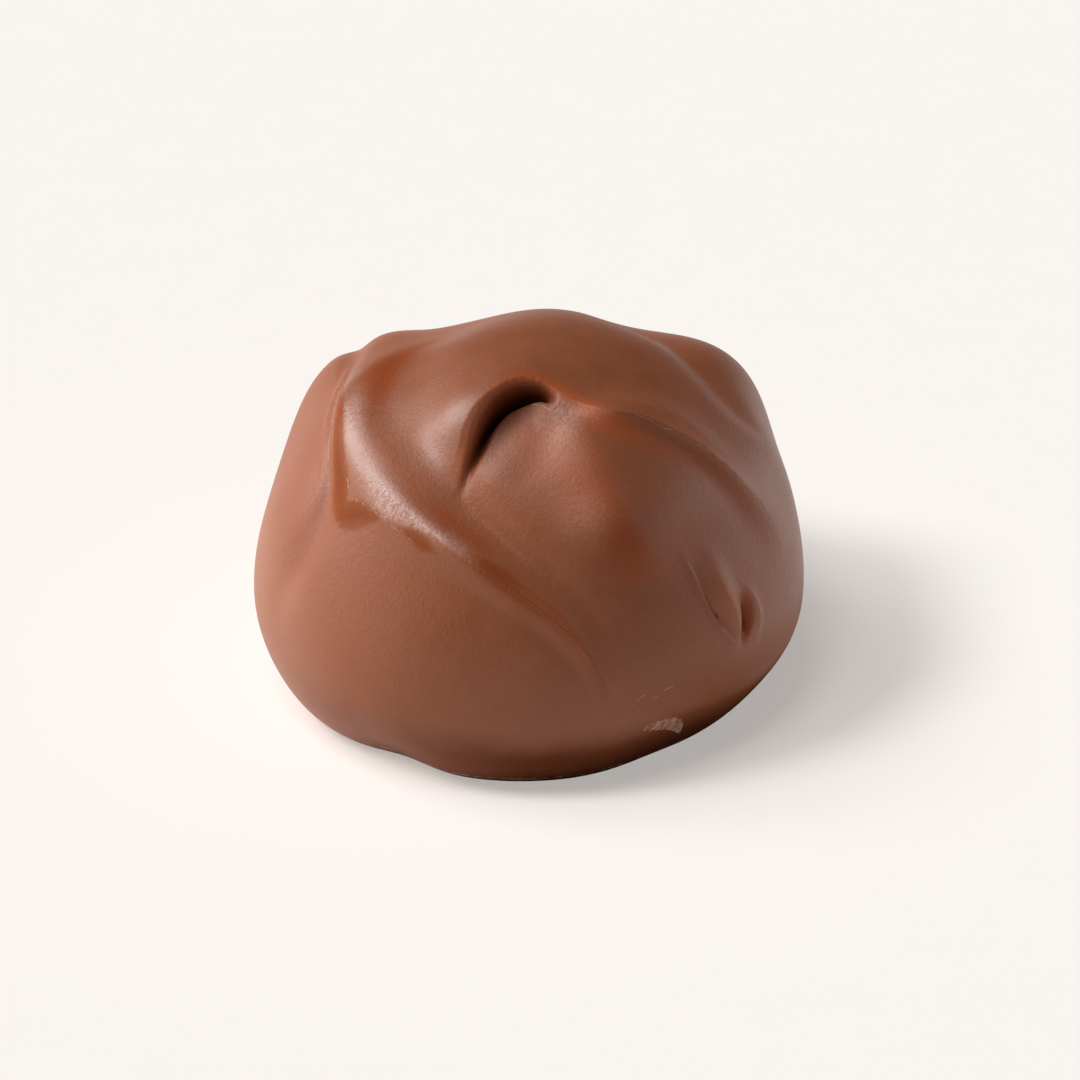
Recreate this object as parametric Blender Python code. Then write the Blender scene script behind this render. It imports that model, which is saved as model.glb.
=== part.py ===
"""Milk chocolate truffle: one hand-dipped sweet that stands on its own flat foot.

The coat is a square sheet draped over a ball. A point of the sheet has a heading from the ball's
middle, and stands off by the ball's radius plus whatever lobes, ridges and creases pass there.
Azimuth is counted from the front (-Y) towards +X, latitude from the widest ring upwards, both in
degrees. Heights and widths of folds are in millimetres; the finished body is in metres.
"""
import bmesh
import bpy
import numpy as np

MILLIMETRE = 0.001

# Driving dimensions of the body, in millimetres.
BALL_RADIUS = 17.0
BALL_MIDDLE_HEIGHT = 6.1
WAIST_TUCK = 1.6
TUCK_LATITUDE = 23.0

# The sheet: how far it reaches from the crown, in degrees, and how much of it turns into the foot.
SHEET_REACH = 113.5
FOOT_SHARE = 0.14
SHEET_CELLS = 240

# The cells are smallest at the hook: where that is, as a share of the reach towards the front, and
# how large they are there beside the average.
FINE_SPOT = 0.25
FINE_SHARE = 0.55
SURFACE_TRIANGLES = 10800

# Steps along a fold, how many of its widths away a fold still counts, and how many headings are
# measured against its steps at a time.
FOLD_STEPS = 300
FOLD_REACH = 3.0
BATCH = 20000

# Edges bent by more than this, in degrees, stay sharp: only the one round the foot.
SHARP_ANGLE = 60

NODE_NAME = "chocolate_truffle"

# Broad swellings: azimuth, latitude, height and spread.
LOBES = [
    ("back left shoulder", -130, 32, 1.7, 5.0),
    ("back right shoulder", 126, 32, 2.1, 5.0),
    ("left cheek", -60, 12, 0.3, 6.0),
    ("front panel", -25, 2, 0.5, 8.0),
    ("right cheek", 75, 10, 0.4, 6.0),
    ("right swell", 88, 30, 0.5, 4.0),
    ("back swell", -175, 12, 0.6, 6.0),
    ("tuck under the right front", 36, -20, -0.8, 4.5),
    ("tuck under the left front", -33, -20, -0.95, 3.2),
    ("tuck under the right", 66, -25, -0.8, 4.0),
    ("dip behind the left", -92, 22, -0.3, 4.0),
    ("dip behind the crown", -140, 60, -1.1, 5.0),
    ("dip before the right shoulder", 138, 53, -0.5, 3.0),
    ("left hip", -58, -24, 0.3, 4.0),
]


def fold(stops, falloff=2.0, lean=0.0, blur=0.35):
    """One fold: a line over the coat with a ridge, or a crease, along it.

    Each stop has an azimuth, a latitude, the height there (below zero in a crease) and the widths to
    the left and to the right of the walk. Falloff is how square the fold's section is. Lean is how
    far the surface is pushed to the right of the walk, as a share of the height.
    """
    return {"stops": stops, "falloff": falloff, "lean": lean, "blur": blur}


FOLDS = {
    "collar": fold([
        (-165, 10, 0.0, 1.6, 2.0), (-158, 26, 0.5, 1.6, 2.0), (-140, 40, 0.3, 1.8, 2.0),
        (-120, 50, 0.1, 2.0, 2.0), (-101, 53.5, 0.4, 2.0, 1.8), (-84, 52, 0.75, 1.6, 1.7),
        (-70, 50, 0.8, 1.5, 1.9), (-59, 47.5, 0.75, 1.8, 1.9), (-49, 46, 0.7, 2.0, 2.0),
        (-40, 44.1, 0.65, 2.0, 2.0), (-32, 42, 0.6, 1.9, 2.0), (-24, 38.8, 0.5, 1.6, 1.8),
        (-13.5, 34.3, 0.3, 1.4, 1.4), (-3, 28.5, 0.0, 1.0, 1.0)], falloff=2.4),
    "collar lip": fold([
        (-62, 40, 0.0, 0.8, 1.6), (-54, 42.3, 0.06, 0.9, 1.7), (-46, 42.2, 0.15, 0.9, 1.8),
        (-38, 41, 0.24, 0.9, 1.8), (-30, 39.1, 0.3, 0.8, 1.6), (-22, 36.5, 0.28, 0.7, 1.4),
        (-13, 32.7, 0.2, 0.6, 1.2), (-4, 28, 0.0, 0.5, 1.0)], blur=0.3),
    "panel edge": fold([
        (-29, 38.5, 0.0, 1.4, 1.0), (-21, 35.5, 0.3, 1.4, 1.0), (-11, 31.5, 0.75, 1.7, 0.9),
        (-3, 27.5, 0.85, 2.0, 0.9), (4, 23, 0.8, 2.0, 0.8), (11, 16, 0.6, 1.8, 0.7),
        (17, 3, 0.0, 1.8, 0.7)]),
    "hook and right ridge": fold([
        (-27.5, 47, 0.0, 1.6, 1.0), (-26.5, 51, 0.1, 1.6, 0.9), (-25.5, 55, 0.2, 1.8, 0.8),
        (-25, 60, 0.75, 2.2, 0.9), (-23.5, 64.5, 1.0, 2.6, 0.95), (-18, 69.2, 0.9, 2.6, 0.85),
        (-10, 72.8, 0.7, 2.4, 0.75), (3, 74.2, 0.5, 2.2, 0.7), (15, 71.7, 0.3, 2.2, 0.75),
        (25, 67, 0.3, 2.4, 0.6), (34, 62, 0.45, 2.5, 0.6), (45, 57, 0.65, 2.6, 0.6),
        (56, 48.5, 0.75, 2.4, 0.6), (61, 42, 0.75, 2.0, 0.7), (65, 34.5, 0.65, 2.0, 0.9),
        (69, 25, 0.4, 2.0, 1.3), (71, 15, 0.0, 2.0, 1.6)]),
    "tongue": fold([
        (17, 65, 0.0, 2.6, 1.4), (21, 60.5, 0.75, 5.0, 1.8), (23.5, 54.5, 1.0, 7.0, 2.6),
        (23.5, 47, 1.1, 7.4, 3.0), (22.5, 39, 1.3, 5.4, 2.9), (21.5, 33, 0.9, 3.8, 2.6),
        (20, 26, 0.0, 3.0, 2.6)]),
    "right crease": fold([
        (150, 56, 0.0, 1.4, 1.2), (128, 54, -0.3, 1.4, 1.3), (107, 50, -0.38, 1.5, 1.4),
        (93, 40, -0.25, 1.5, 1.4), (94, 31, 0.0, 1.4, 1.2)]),
    "left crease": fold([
        (-150, 22, 0.0, 1.2, 0.9), (-132, 38, -0.5, 1.2, 0.9), (-114, 46, -0.4, 0.8, 0.7),
        (-96, 48, -0.4, 0.5, 0.6), (-82, 45.5, -0.4, 0.45, 0.55), (-69, 41, -0.4, 0.45, 0.6),
        (-60, 34, -0.35, 0.8, 0.9), (-58, 26, -0.3, 1.2, 1.3), (-61, 15, -0.25, 1.3, 1.4),
        (-65, 3, 0.0, 1.4, 1.4)]),
    "left lip": fold([
        (-128, 41, 0.0, 1.2, 0.5), (-113, 45.5, 0.2, 1.2, 0.35), (-97, 46.4, 0.3, 1.2, 0.3),
        (-83, 44, 0.3, 1.2, 0.3), (-72, 40.7, 0.25, 1.0, 0.3), (-65, 36, 0.15, 1.0, 0.4),
        (-61.5, 29, 0.0, 1.0, 0.4)], blur=0.2),
    "bowl": fold([
        (-140, 64, 0.0, 2.4, 3.0), (-112, 66, -0.3, 2.6, 2.8), (-86, 65, -0.7, 2.6, 2.6),
        (-62, 62, -0.7, 2.5, 2.6), (-42, 55.5, -0.5, 2.2, 3.0), (-23, 48, -0.7, 1.5, 2.6),
        (-7, 38.5, -0.85, 1.3, 2.0), (5, 29, -0.8, 1.3, 2.0), (14, 18, -0.5, 1.2, 2.1),
        (19, 6, 0.0, 1.2, 2.2)]),
    "lap lip": fold([
        (38, 31, 0.0, 0.7, 0.3), (39.2, 27, 0.1, 0.7, 0.3), (40.4, 23, 0.22, 0.7, 0.28),
        (41.5, 19, 0.3, 0.7, 0.25), (42.8, 15, 0.3, 0.7, 0.25), (44.6, 11.3, 0.27, 0.7, 0.25),
        (46.5, 8.5, 0.2, 0.7, 0.35), (48.5, 6.3, 0.12, 0.7, 0.5), (51, 4.5, 0.0, 0.7, 0.5)], blur=0.25),
    "lap crease": fold([
        (40.6, 27, 0.0, 0.3, 0.4), (41.6, 23.7, -0.2, 0.25, 0.4), (42.4, 20.5, -0.4, 0.25, 0.4),
        (43.3, 17.2, -0.45, 0.25, 0.4), (44.6, 14, -0.45, 0.25, 0.4), (46, 11.3, -0.3, 0.25, 0.35),
        (47.3, 9, 0.0, 0.25, 0.3)], blur=0.25),
    "thumb": fold([
        (45, 30, 0.0, 1.1, 0.9), (46.3, 24, 0.25, 1.0, 0.9), (47.5, 18, 0.45, 0.9, 0.8),
        (48.6, 13, 0.45, 0.8, 0.6), (49.2, 9, 0.25, 0.7, 0.5), (49.6, 6, 0.0, 0.6, 0.5)]),
    "notch": fold([
        (52.8, 17, 0.0, 0.3, 0.45), (53.2, 14.5, -0.35, 0.3, 0.45), (53.2, 12, -0.75, 0.3, 0.45),
        (52.5, 9.2, -0.75, 0.3, 0.45), (51.3, 7, -0.4, 0.3, 0.4), (49.9, 5.5, 0.0, 0.3, 0.35)],
        blur=0.25),
    "notch lip": fold([
        (54.9, 17, 0.0, 0.3, 0.9), (56, 14.3, 0.15, 0.35, 0.9), (56.6, 11.5, 0.22, 0.35, 0.9),
        (56.5, 8.5, 0.2, 0.35, 0.8), (55.8, 5.7, 0.1, 0.3, 0.7), (54.3, 3.5, 0.0, 0.3, 0.6)],
        blur=0.25),
    "back ridge": fold([
        (160, 50, 0.0, 1.2, 2.2), (172, 34, 0.7, 1.2, 2.2), (165, 18, 0.7, 1.2, 2.2),
        (150, 4, 0.0, 1.2, 2.2)]),
    "back crease": fold([
        (178, 46, 0.0, 1.0, 1.4), (-174, 30, -0.7, 1.0, 1.4), (-180, 12, -0.5, 1.0, 1.4),
        (170, 0, 0.0, 1.0, 1.4)]),
    "root of the tongue": fold([
        (-20, 46, 0.0, 0.5, 1.2), (-19, 51.5, -0.2, 0.5, 1.3), (-17, 57, -0.4, 0.5, 1.4),
        (-14, 62.5, -0.5, 0.5, 1.4), (-8.5, 67, -0.55, 0.5, 1.4), (0, 69.7, -0.5, 0.5, 1.3),
        (9, 70.2, -0.3, 0.5, 1.2), (16, 68.5, 0.0, 0.5, 1.0)]),
    "slot under the hook": fold([
        (-20.5, 46.5, 0.0, 0.3, 0.35), (-20, 51.5, -0.35, 0.3, 0.35), (-18.7, 57, -1.2, 0.33, 0.35),
        (-16.6, 63, -2.1, 0.36, 0.3), (-10.5, 68.4, -2.3, 0.38, 0.3), (-1, 71, -2.3, 0.38, 0.3),
        (8.5, 71.2, -1.7, 0.33, 0.3), (15.5, 69, 0.0, 0.3, 0.3)],
        falloff=2.5, lean=0.2, blur=0.2),
}


def clear_scene():
    """Starts from an empty scene."""
    for item in list(bpy.data.objects):
        bpy.data.objects.remove(item, do_unlink=True)


def heading(azimuth, latitude):
    """Unit vector of a place given in degrees."""
    turn, rise = np.radians(azimuth), np.radians(latitude)
    return np.stack([np.cos(rise) * np.sin(turn), -np.cos(rise) * np.cos(turn), np.sin(rise)], -1)


def smooth_curve(stops, at, where):
    """Cubic curve through the stops, which stand at the places 'at', read at the places 'where'."""
    slope = np.gradient(stops, at, axis=0)
    span = np.clip(np.searchsorted(at, where, side="right") - 1, 0, len(at) - 2)
    step = (at[span + 1] - at[span])[:, None]
    t = (where - at[span])[:, None] / step
    rise = 3 * t ** 2 - 2 * t ** 3
    return ((1 - rise) * stops[span] + rise * stops[span + 1]
            + (t - 2 * t ** 2 + t ** 3) * step * slope[span]
            + (t ** 3 - t ** 2) * step * slope[span + 1])


def fold_line(item):
    """Headings along a fold's line, and its height and widths at each of them."""
    stops = np.array(item["stops"], float)
    corners = heading(stops[:, 0], stops[:, 1])
    lengths = np.linalg.norm(np.diff(corners, axis=0), axis=1)
    at = np.concatenate([[0.0], np.cumsum(lengths)]) / lengths.sum()
    share = np.linspace(0, 1, FOLD_STEPS)
    line = smooth_curve(corners, at, share)
    line /= np.linalg.norm(line, axis=1)[:, None]
    return line, smooth_curve(stops[:, 2:], at, share)


def beside_line(headings, item, reach):
    """The headings within reach of a fold's line: which they are, how many millimetres they lie to
    the right of it, the fold's height and widths beside them, and which way is right."""
    line, values = fold_line(item)
    ahead = np.gradient(line, axis=0)
    rightwards = np.cross(ahead / np.linalg.norm(ahead, axis=1)[:, None], line)
    near = np.flatnonzero((headings @ line.T).max(axis=1) > np.cos(reach / BALL_RADIUS))
    aside = np.zeros(len(near))
    beside = np.zeros((len(near), values.shape[1]))
    way = np.zeros((len(near), 3))
    for part in np.array_split(np.arange(len(near)), len(near) // BATCH + 1):
        place = headings[near[part]]
        gap = BALL_RADIUS * np.sqrt(np.maximum(2 - 2 * place @ line.T, 0))
        nearest = gap.min(axis=1, keepdims=True)
        weight = np.exp((nearest ** 2 - gap ** 2) / (2 * item["blur"] ** 2))
        weight /= weight.sum(axis=1, keepdims=True)
        aside[part] = np.sum(weight * np.sign(place @ rightwards.T) * gap, axis=1)
        beside[part] = weight @ values
        way[part] = weight @ rightwards
    return near, aside, beside, way


def fold_effect(headings, item):
    """How far a fold lifts each heading, and how far it pushes it sideways, in millimetres."""
    widest = max(max(stop[3:]) for stop in item["stops"])
    near, aside, beside, way = beside_line(headings, item, FOLD_REACH * widest)
    height, left, right = beside.T
    width = np.where(aside < 0, left, right)
    lift = np.zeros(len(headings))
    lift[near] = height * np.exp(-np.abs(aside / width) ** item["falloff"])
    push = np.zeros((len(headings), 3))
    push[near] = item["lean"] * lift[near, None] * way
    return lift, push


def coat_points(headings):
    """Points of the coat, in millimetres from the ball's middle."""
    below = np.clip(-np.degrees(np.arcsin(headings[:, 2])) / TUCK_LATITUDE, 0, 2)
    radius = BALL_RADIUS - WAIST_TUCK * below ** 2
    for name, azimuth, latitude, height, spread in LOBES:
        away = 2 - 2 * headings @ heading(azimuth, latitude)
        radius += height * np.exp(-away * (BALL_RADIUS / spread) ** 2)
    push = np.zeros_like(headings)
    for item in FOLDS.values():
        lift, sideways = fold_effect(headings, item)
        radius += lift
        push += sideways
    return radius[:, None] * headings + push


def sheet_headings(u, v):
    """Headings of a square sheet (u, v from -1 to 1), and how far out each point lies, 0 to 1.

    Squares round the sheet's middle become circles, crowded together at the hook.
    """
    wide = np.abs(u) >= np.abs(v)
    out = np.where(wide, u, v)
    other = np.where(wide, v, u)
    quarter = np.pi / 4 * other / np.where(out == 0, 1, out)
    turn = np.where(wide, quarter, np.pi / 2 - quarter)
    ring = out * np.exp(1j * turn)
    ring *= FINE_SHARE + (1 - FINE_SHARE) * np.abs(ring) ** 2
    ring = (ring - 1j * FINE_SPOT) / (1 + 1j * FINE_SPOT * ring)
    polar = np.radians(SHEET_REACH) * np.abs(ring)
    around = np.angle(ring)
    flat = np.stack([np.sin(polar) * np.cos(around), np.sin(polar) * np.sin(around)], 1)
    return np.column_stack([flat, np.cos(polar)]), np.abs(ring)


def settle_on_foot(points, headings, out):
    """Lifts the body onto the floor and eases the sheet's border down into a level foot."""
    points[:, 2] += BALL_MIDDLE_HEIGHT
    around = np.arctan2(headings[:, 1], headings[:, 0])
    border = np.flatnonzero(out > 1 - 1e-6)
    border = border[np.argsort(around[border])]
    drop = np.interp(around, around[border], points[border, 2], period=2 * np.pi)
    share = np.clip((out - 1 + FOOT_SHARE) / FOOT_SHARE, 0, 1)
    points[:, 2] -= drop * share ** 2 * (3 - 2 * share)
    points[:, 2] = np.maximum(points[:, 2], 0)
    return points


def drape_sheet():
    """The coat as an open skin: a grid whose points are carried onto the body."""
    bpy.ops.mesh.primitive_grid_add(x_subdivisions=SHEET_CELLS, y_subdivisions=SHEET_CELLS, size=2)
    body = bpy.context.active_object
    mesh = body.data
    flat = np.empty(len(mesh.vertices) * 3)
    mesh.vertices.foreach_get("co", flat)
    u, v = flat.reshape(-1, 3)[:, :2].T
    headings, out = sheet_headings(u, v)
    points = settle_on_foot(coat_points(headings), headings, out) * MILLIMETRE
    points[:, :2] -= (points[:, :2].max(axis=0) + points[:, :2].min(axis=0)) / 2
    mesh.vertices.foreach_set("co", points.ravel())
    mesh.update()
    return body


def thin_out(body):
    """Keeps the triangles where the coat bends most, such as the folds."""
    thin = body.modifiers.new("fewer triangles", "DECIMATE")
    thin.ratio = SURFACE_TRIANGLES / (2 * SHEET_CELLS ** 2)
    bpy.ops.object.modifier_apply(modifier=thin.name)


def close_foot(body):
    """Levels the border of the skin at the floor, centres the body and fills the foot flat."""
    shape = bmesh.new()
    shape.from_mesh(body.data)
    border = [edge for edge in shape.edges if edge.is_boundary]
    for edge in border:
        for corner in edge.verts:
            corner.co.z = 0.0
    for axis in (0, 1):
        along = [corner.co[axis] for corner in shape.verts]
        middle = (min(along) + max(along)) / 2
        for corner in shape.verts:
            corner.co[axis] -= middle
    bmesh.ops.contextual_create(shape, geom=border)
    bmesh.ops.recalc_face_normals(shape, faces=shape.faces)
    shape.to_mesh(body.data)
    shape.free()


def milk_chocolate():
    """Satin milk chocolate."""
    material = bpy.data.materials.new("milk chocolate")
    material.use_nodes = True
    surface = material.node_tree.nodes["Principled BSDF"]
    surface.inputs["Base Color"].default_value = (0.34, 0.105, 0.046, 1.0)
    surface.inputs["Roughness"].default_value = 0.38
    surface.inputs["Metallic"].default_value = 0.0
    return material


def make_truffle():
    """The whole sweet, one closed body."""
    clear_scene()
    body = drape_sheet()
    thin_out(body)
    close_foot(body)
    body.name = NODE_NAME
    body.data.name = NODE_NAME
    body.data.shade_smooth()
    body.data.set_sharp_from_angle(angle=np.radians(SHARP_ANGLE))
    body.data.materials.append(milk_chocolate())
    group = bpy.data.collections.new("milk chocolate truffle")
    bpy.context.scene.collection.children.link(group)
    for other in list(body.users_collection):
        other.objects.unlink(body)
    group.objects.link(body)


make_truffle()
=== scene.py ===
"""A milk chocolate truffle on a pale floor, seen from a little above its front."""
import math

import bpy
import numpy as np
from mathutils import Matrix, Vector


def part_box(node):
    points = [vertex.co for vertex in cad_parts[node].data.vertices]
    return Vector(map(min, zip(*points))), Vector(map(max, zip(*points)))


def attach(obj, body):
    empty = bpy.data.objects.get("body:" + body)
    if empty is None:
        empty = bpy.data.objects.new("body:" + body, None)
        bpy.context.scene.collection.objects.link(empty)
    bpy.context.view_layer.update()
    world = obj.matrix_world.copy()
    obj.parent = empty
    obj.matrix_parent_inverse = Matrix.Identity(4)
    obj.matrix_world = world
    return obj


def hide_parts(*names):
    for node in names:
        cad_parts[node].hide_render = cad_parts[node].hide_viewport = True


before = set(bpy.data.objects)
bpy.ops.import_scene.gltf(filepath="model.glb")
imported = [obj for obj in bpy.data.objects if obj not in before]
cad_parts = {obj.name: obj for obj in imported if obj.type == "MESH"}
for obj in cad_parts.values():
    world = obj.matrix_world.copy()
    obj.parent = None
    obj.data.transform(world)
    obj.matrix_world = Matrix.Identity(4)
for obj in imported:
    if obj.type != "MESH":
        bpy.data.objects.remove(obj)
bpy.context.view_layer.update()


# The coat: one skin of milk chocolate, poured over a ball by hand and left with the ridges of the
# hand that dipped it. It is a square sheet draped over the ball, with the same swellings and folds
# as the solid, about four times as fine.
MILLIMETRE = 0.001

# Driving dimensions of the body, in millimetres.
BALL_RADIUS = 17.0
BALL_MIDDLE_HEIGHT = 6.1
WAIST_TUCK = 1.6
TUCK_LATITUDE = 23.0

# The sheet: how far it reaches from the crown, in degrees, and how much of it turns into the foot.
SHEET_REACH = 113.5
FOOT_SHARE = 0.14
SHEET_CELLS = 300

# The cells are smallest at the hook: where that is, as a share of the reach towards the front, and
# how large they are there beside the average.
FINE_SPOT = 0.25
FINE_SHARE = 0.55

# Faces that meet at more than this, in degrees, have a sharp edge between them, as at the foot.
SHARP_ANGLE = 60

# Steps along a fold, how many of its widths away a fold still counts, and how many headings are
# measured against its steps at a time.
FOLD_STEPS = 300
FOLD_REACH = 3.0
BATCH = 20000

# Broad swellings, and dips where the height is below zero: azimuth and latitude in degrees, then
# height and spread in millimetres.
LOBES = [
    ("back left shoulder", -130, 32, 1.7, 5.0),
    ("back right shoulder", 126, 32, 2.1, 5.0),
    ("left cheek", -60, 12, 0.3, 6.0),
    ("front panel", -25, 2, 0.5, 8.0),
    ("right cheek", 75, 10, 0.4, 6.0),
    ("right swell", 88, 30, 0.5, 4.0),
    ("back swell", -175, 12, 0.6, 6.0),
    ("tuck under the right front", 36, -20, -0.8, 4.5),
    ("tuck under the left front", -33, -20, -0.95, 3.2),
    ("tuck under the right", 66, -25, -0.8, 4.0),
    ("dip behind the left", -92, 22, -0.3, 4.0),
    ("dip behind the crown", -140, 60, -1.1, 5.0),
    ("dip before the right shoulder", 138, 53, -0.5, 3.0),
    ("left hip", -58, -24, 0.3, 4.0),
]


def fold(stops, falloff=2.0, lean=0.0, blur=0.35):
    """One fold: a line over the coat with a ridge, or a crease, along it.

    Each stop has an azimuth, a latitude, the height there (below zero in a crease) and the widths to
    the left and to the right of the walk. Falloff is how square the fold's section is. Lean is how
    far the surface is pushed to the right of the walk, as a share of the height. Blur is how far, in
    millimetres, the stops are blended where the line bends.
    """
    return {"stops": stops, "falloff": falloff, "lean": lean, "blur": blur}


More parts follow.
